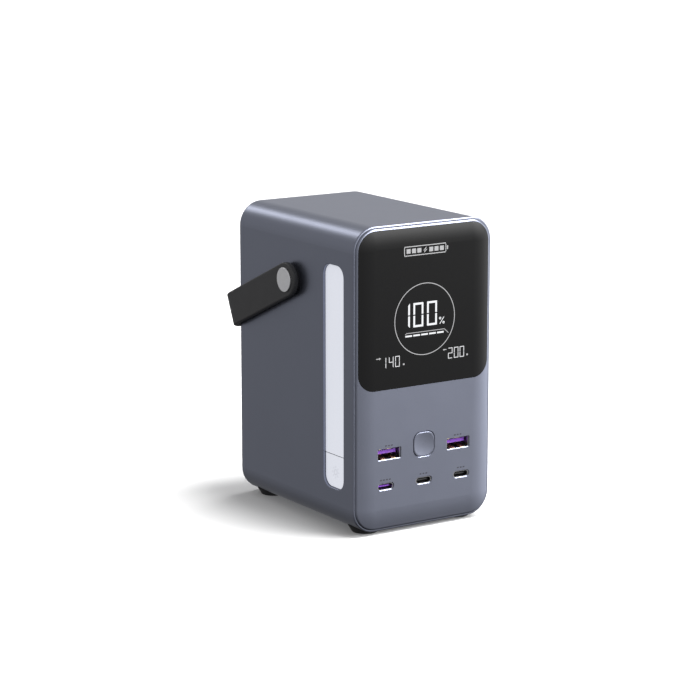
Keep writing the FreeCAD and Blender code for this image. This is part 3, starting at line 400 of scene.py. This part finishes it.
def bar(start, end, height, thickness):
    """Level bar between two places across, centred on a height."""
    low, high = height - thickness / 2, height + thickness / 2
    return [(start, low), (end, low), (end, high), (start, high)]


def line(start, end, thickness):
    """Straight line of a thickness between two places."""
    dx, dz = end[0] - start[0], end[1] - start[1]
    length = math.hypot(dx, dz)
    nx, nz = -dz / length * thickness / 2, dx / length * thickness / 2
    return [
        (start[0] - nx, start[1] - nz),
        (end[0] - nx, end[1] - nz),
        (end[0] + nx, end[1] + nz),
        (start[0] + nx, start[1] + nz),
    ]


def arrow(tail, neck, tip, height, spread, thickness):
    """Level arrow: its shaft and its head."""
    half = math.copysign(spread, tip - neck)
    head = [(neck, height - half), (tip, height), (neck, height + half)]
    return [line((tail, height), (neck, height), thickness), head]


# Segments of a digit: a top, b and c upper and lower right, d bottom, e and f lower and upper left,
# g middle.
DIGITS = {"0": "abcdef", "1": "bc", "2": "abged", "4": "fgbc"}
MITRE_GAP = 0.05
MIDDLE_STROKE = 0.9


def digit(shape, x, z, size, stroke, split):
    """Mitred segments of one digit from its lower left corner, parted at half height."""
    width, height = size
    half = height / 2
    s = stroke
    m = MITRE_GAP
    outlines = {
        "a": [(m, height), (s + m, height - s), (width - s - m, height - s), (width - m, height)],
        "d": [(m, 0), (width - m, 0), (width - s - m, s), (s + m, s)],
        "b": [(width, height), (width - s, height - s), (width - s, half + split), (width, half + split)],
        "c": [(width, 0), (width, half - split), (width - s, half - split), (width - s, s)],
        "f": [(0, height), (0, half + split), (s, half + split), (s, height - s)],
        "e": [(0, 0), (s, s), (s, half - split), (0, half - split)],
        "g": bar(m, width - m, half, s * MIDDLE_STROKE),
    }
    return [[(x + u, z + v) for u, v in outlines[k]] for k in DIGITS[shape]]


# ---- charge reading: millimetres from the middle of the display ----------------------------------
RING_CENTRE = (0.0, -0.5)
RING_RADIUS = 17.4
RING_LINE = 0.36
RING_STEPS = 120
CHARGE_DIGITS = (("1", -14.5), ("0", -6.7), ("0", 1.25))
CHARGE_BASE = -4.0
CHARGE_SIZE = (5.8, 11.8)
CHARGE_STROKE = 1.0
CHARGE_SPLIT = 0.28
PERCENT_DOTS = ((8.95, -1.1), (10.95, -3.3))
PERCENT_DOT_RADIUS = 0.45
PERCENT_DOT_STEPS = 16
PERCENT_SLASH = ((8.75, -3.85), (11.2, -0.6))
PERCENT_LINE = 0.38
LEVEL_DASHES = 5
LEVEL_PITCH = 4.62
LEVEL_DASH = 3.9
LEVEL_THICKNESS = 0.8
LEVEL_HEIGHT = -8.0
LEVEL_START = -11.3
LEVEL_END = 11.5
LEVEL_LINE = 0.3
LEVEL_LINE_HEIGHT = -6.6
LEVEL_LINE_FOOT = (LEVEL_START, -7.15)
LEVEL_LINE_BEND = LEVEL_START + 0.6
LEVEL_LINE_TAIL = (13.8, -8.7)


def charge_marks():
    """Charge reading in a ring, with its level dashes."""
    round_line = ring(RING_CENTRE, RING_RADIUS, RING_LINE, RING_STEPS)
    mark_piece("display_ring", round_line, DIM, on_display)
    charge = []
    for shape, x in CHARGE_DIGITS:
        charge += digit(shape, x, CHARGE_BASE, CHARGE_SIZE, CHARGE_STROKE, CHARGE_SPLIT)
    mark_piece("display_charge", charge, BRIGHT, on_display)
    percent = []
    for centre in PERCENT_DOTS:
        percent += ring(centre, PERCENT_DOT_RADIUS, RING_LINE, PERCENT_DOT_STEPS)
    percent.append(line(*PERCENT_SLASH, PERCENT_LINE))
    mark_piece("display_percent", percent, BRIGHT, on_display)
    starts = [LEVEL_START + LEVEL_PITCH * k for k in range(LEVEL_DASHES)]
    dashes = [bar(x, x + LEVEL_DASH, LEVEL_HEIGHT, LEVEL_THICKNESS) for x in starts]
    mark_piece("display_level", dashes, BRIGHT, on_display)
    outline = [
        line(LEVEL_LINE_FOOT, (LEVEL_LINE_BEND, LEVEL_LINE_HEIGHT), LEVEL_LINE),
        bar(LEVEL_LINE_BEND, LEVEL_END, LEVEL_LINE_HEIGHT, LEVEL_LINE),
        line((LEVEL_END, LEVEL_LINE_HEIGHT), LEVEL_LINE_TAIL, LEVEL_LINE),
    ]
    mark_piece("display_level_line", outline, DIM, on_display)


# ---- power readings: millimetres from the middle of the display ----------------------------------
# An arrow has its tail, neck and tip across, its height, and half the spread of its head.
POWER_READINGS = (
    {
        "digits": (("1", -24.9), ("4", -20.7), ("0", -17.1)),
        "base": -22.1,
        "arrow": (-28.0, -26.3, -25.2, -17.1, 0.6),
        "dot": -12.6,
    },
    {
        "digits": (("2", 13.8), ("0", 17.3), ("0", 20.7)),
        "base": -21.6,
        "arrow": (12.8, 11.6, 10.6, -16.9, 0.5),
        "dot": 24.7,
    },
)
POWER_SIZE = (2.6, 5.3)
POWER_STROKE = 0.36
POWER_SPLIT = 0.12
ARROW_LINE = 0.4
DOT_WIDTH = 0.9
DOT_HEIGHT = 0.8
DOT_RISE = 0.8


def power_marks():
    """Power readings at each side: digits, an arrow for the direction, and a dot for the unit."""
    digits = []
    small = []
    for reading in POWER_READINGS:
        for shape, x in reading["digits"]:
            digits += digit(shape, x, reading["base"], POWER_SIZE, POWER_STROKE, POWER_SPLIT)
        small += arrow(*reading["arrow"], ARROW_LINE)
        dot = reading["dot"]
        small.append(bar(dot, dot + DOT_WIDTH, reading["base"] + DOT_RISE, DOT_HEIGHT))
    mark_piece("display_readings", digits, READING, on_display)
    mark_piece("display_small_marks", small, DIM, on_display)


# ---- emblem: millimetres -------------------------------------------------------------------------
EMBLEM_DROP = 11.1
EMBLEM_HALF_WIDTH = 12.0
EMBLEM_HEIGHT = 4.3
EMBLEM_LINE = 0.45
TERMINAL_START = 0.6
TERMINAL_END = 1.3
TERMINAL_HEIGHT = 1.8
BOLT_HALF = ((0.7, 1.5), (-1.2, -0.25), (0.2, -0.25))
CELLS_A_SIDE = 3
CELL_START = 2.3
CELL_PITCH = 3.1
CELL_WIDTH = 2.3
CELL_HEIGHT = 2.2


def emblem():
    """Generic battery sign near the top of the glass: an outline, a bolt and level bars."""
    centre = GLASS_TOP - EMBLEM_DROP
    half_line = EMBLEM_LINE / 2
    outlines = []
    for side in (-1, 1):
        end = side * EMBLEM_HALF_WIDTH
        level = centre + side * EMBLEM_HEIGHT / 2
        outlines.append(bar(-EMBLEM_HALF_WIDTH, EMBLEM_HALF_WIDTH, level, EMBLEM_LINE))
        outlines.append(bar(end - half_line, end + half_line, centre, EMBLEM_HEIGHT - EMBLEM_LINE))
        outlines.append([(side * u, centre + side * v) for u, v in BOLT_HALF])
        for k in range(CELLS_A_SIDE):
            inner = side * (CELL_START + CELL_PITCH * k)
            outlines.append(bar(inner, inner + side * CELL_WIDTH, centre, CELL_HEIGHT))
    terminal = (EMBLEM_HALF_WIDTH + TERMINAL_START, EMBLEM_HALF_WIDTH + TERMINAL_END)
    outlines.append(bar(*terminal, centre, TERMINAL_HEIGHT))
    mark_piece("emblem", outlines, EMBLEM, on_front)


# ---- sockets -------------------------------------------------------------------------------------
# Printed dashes over each socket: how many, and their height above its shell in millimetres.
SOCKET_DASHES = {
    "usb_a_shell_left": (3, 1.35),
    "usb_a_shell_right": (3, 1.35),
    "usb_c_shell_left": (4, 1.77),
    "usb_c_shell_middle": (3, 1.77),
    "usb_c_shell_right": (3, 1.77),
}
DASH_PITCH = 1.7
DASH_WIDTH = 1.1
DASH_HEIGHT = 0.7

SPRING_PLACES = (-2.9 * MM, 2.9 * MM)
SPRING_WIDTH = 2.4 * MM
SPRING_LENGTH = 7.0 * MM
SPRING_THICKNESS = 0.15 * MM
SPRING_SETBACK = 0.15 * MM
SPRING_RISE = 0.75 * MM
SPRING_STEPS = 14
SOCKET_WALL = 0.33 * MM


def socket_marks():
    """Short printed dashes over each socket."""
    outlines = []
    for node, (dashes, rise) in SOCKET_DASHES.items():
        start = middle(node).x / MM - DASH_PITCH * dashes / 2
        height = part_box(node)[1].z / MM + rise
        for k in range(dashes):
            x = start + DASH_PITCH * k
            outlines.append(bar(x, x + DASH_WIDTH, height, DASH_HEIGHT))
    mark_piece("socket_marks", outlines, PRINT, on_front)


def bowed_spring(bm, x, start, floor_height):
    """Strip along Y that stands on its two ends and bows up between them."""
    half = SPRING_WIDTH / 2
    sections = []
    for k in range(SPRING_STEPS + 1):
        part = k / SPRING_STEPS
        y = start + SPRING_LENGTH * part
        low = floor_height + SPRING_RISE * math.sin(math.pi * part)
        high = low + SPRING_THICKNESS
        corners = ((x - half, low), (x + half, low), (x + half, high), (x - half, high))
        sections.append([bm.verts.new((across, y, up)) for across, up in corners])
    bm.faces.new(sections[0])
    bm.faces.new(sections[-1])
    for near, far in zip(sections, sections[1:]):
        side_faces(bm, near, far)


def socket_springs():
    """Bowed grounding springs on the floor of each wide socket."""
    for side in ("left", "right"):
        shell = "usb_a_shell_" + side
        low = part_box(shell)[0]
        bm = bmesh.new()
        for place in SPRING_PLACES:
            bowed_spring(bm, middle(shell).x + place, low.y + SPRING_SETBACK, low.z + SOCKET_WALL)
        finish_piece("usb_a_springs_" + side, bm, FINISHES["gold_contact"], "station")


# ---- lamp key's sign: millimetres from the key's middle ------------------------------------------
ICON_CENTRE = (0.0, 0.475)
ICON_RADIUS = 1.25
ICON_LINE = 0.45
ICON_STEPS = 32
RAYS = 8
RAY_START = 2.1
RAY_END = 3.0
RAY_LINE = 0.42


def lamp_icon():
    """Faint round sign with short rays on the lamp key."""
    x, z = ICON_CENTRE
    outlines = ring(ICON_CENTRE, ICON_RADIUS, ICON_LINE, ICON_STEPS)
    for k in range(RAYS):
        angle = 2 * math.pi * k / RAYS
        across, up = math.cos(angle), math.sin(angle)
        inner = (x + RAY_START * across, z + RAY_START * up)
        outer = (x + RAY_END * across, z + RAY_END * up)
        outlines.append(line(inner, outer, RAY_LINE))
    mark_piece("lamp_key_icon", outlines, FAINT, on_lamp_key, "lamp_key")


# ---- studio --------------------------------------------------------------------------------------
FLOOR_SIZE = 30.0
FLOOR_COLOUR = (0.60, 0.60, 0.60)
FLOOR_GLOW = 0.09
FLOOR_LIGHT_POWER = 32.0
FLOOR_LIGHT_SIZE = 0.6
FLOOR_LIGHT_SIDE = (45, 77)
FLOOR_LIGHT_DISTANCE = 1.5

# Soft lights of the room: azimuth and elevation in degrees, sharpness, and radiance at the centre. The
# last one takes light away from below.
SOFT_LIGHTS = {
    "key": (70, 50, 60, 22),
    "key_rear": (110, 50, 60, 11),
    "front_high": (35, 30, 16, 7),
    "front_strip": (38, 25, 100, 11),
    "front_low": (46, 8, 60, 2.0),
    "right": (72, -8, 24, 3.0),
    "rear_strip": (-173, 33, 140, 5),
    "rear_right": (147, 12, 16, 0.1),
    "shade_below": (0, -90, 1, -0.43),
}
ROOM_LIGHT = 0.43

CAMERA_TARGET = Vector((-0.0049, -0.0005, 0.0787))
CAMERA_SIDE = (-33.337, 11.86)
CAMERA_DISTANCE = 1.2566
LENS_MM = 129.77
SENSOR_MM = 36.0


def direction(azimuth, elevation):
    """Unit vector from the object, azimuth 0 towards the front and growing to the right."""
    a, e = math.radians(azimuth), math.radians(elevation)
    return Vector((math.sin(a) * math.cos(e), -math.cos(a) * math.cos(e), math.sin(e)))


def turn_back_to(thing, axis):
    """Turn a light or a camera so that its back is towards an axis."""
    thing.rotation_mode = "QUATERNION"
    thing.rotation_quaternion = axis.to_track_quat("Z", "Y")


def floor():
    """Pale floor that throws no light back at the object."""
    bpy.ops.mesh.primitive_plane_add(size=FLOOR_SIZE, location=(0, 0, 0))
    plane = bpy.context.object
    plane.name = "studio_floor"
    m = Nodes("studio_floor")
    m.set(Base_Color=(*FLOOR_COLOUR, 1), Roughness=1.0, Specular_IOR_Level=0.0)
    m.set(Emission_Color=(1, 1, 1, 1), Emission_Strength=FLOOR_GLOW)
    plane.data.materials.append(m.material)
    plane.visible_diffuse = False
    plane.visible_glossy = False
    plane.visible_transmission = False
    plane.visible_shadow = False
    return plane


def floor_light(plane):
    """A light that reaches the floor only."""
    lit = bpy.data.collections.new("floor_light_receivers")
    lit.objects.link(plane)
    data = bpy.data.lights.new("floor_light", "AREA")
    data.shape = "DISK"
    data.size = FLOOR_LIGHT_SIZE
    data.energy = FLOOR_LIGHT_POWER
    lamp = bpy.data.objects.new("floor_light", data)
    lamp.location = direction(*FLOOR_LIGHT_SIDE) * FLOOR_LIGHT_DISTANCE
    turn_back_to(lamp, lamp.location)
    lamp.light_linking.receiver_collection = lit
    bpy.context.scene.collection.objects.link(lamp)


def room():
    """Surroundings as a sum of soft lights, and plain white where the camera looks past the floor."""
    world = bpy.data.worlds.new("studio")
    world.use_nodes = True
    tree = world.node_tree
    background = tree.nodes["Background"]
    background.inputs["Color"].default_value = (1, 1, 1, 1)
    ray = tree.nodes.new("ShaderNodeTexCoord").outputs["Generated"]

    def step(operation, first, second, third=None):
        node = tree.nodes.new("ShaderNodeMath")
        node.operation = operation
        for socket, value in zip(node.inputs, (first, second, third)):
            if isinstance(value, bpy.types.NodeSocket):
                tree.links.new(value, socket)
            elif value is not None:
                socket.default_value = value
        return node.outputs[0]

    total = ROOM_LIGHT
    for azimuth, elevation, sharpness, radiance in SOFT_LIGHTS.values():
        facing = tree.nodes.new("ShaderNodeVectorMath")
        facing.operation = "DOT_PRODUCT"
        facing.inputs[1].default_value = direction(azimuth, elevation)
        tree.links.new(ray, facing.inputs[0])
        lobe = step("POWER", step("MAXIMUM", facing.outputs["Value"], 0.0), float(sharpness))
        total = step("MULTIPLY_ADD", lobe, radiance, total)
    seen = tree.nodes.new("ShaderNodeLightPath").outputs["Is Camera Ray"]
    tree.links.new(step("MAXIMUM", total, seen), background.inputs["Strength"])
    bpy.context.scene.world = world


def camera():
    """Long lens from the front left, a little above."""
    back = direction(*CAMERA_SIDE)
    data = bpy.data.cameras.new("camera")
    data.lens = LENS_MM
    data.sensor_width = SENSOR_MM
    made = bpy.data.objects.new("camera", data)
    made.location = CAMERA_TARGET + back * CAMERA_DISTANCE
    turn_back_to(made, back)
    bpy.context.scene.collection.objects.link(made)
    bpy.context.scene.camera = made


def studio():
    """Floor, room light and camera."""
    bpy.context.scene.view_settings.view_transform = "Standard"
    floor_light(floor())
    room()
    camera()


dress_nodes()
charge_marks()
power_marks()
emblem()
socket_marks()
lamp_icon()
socket_springs()
studio()
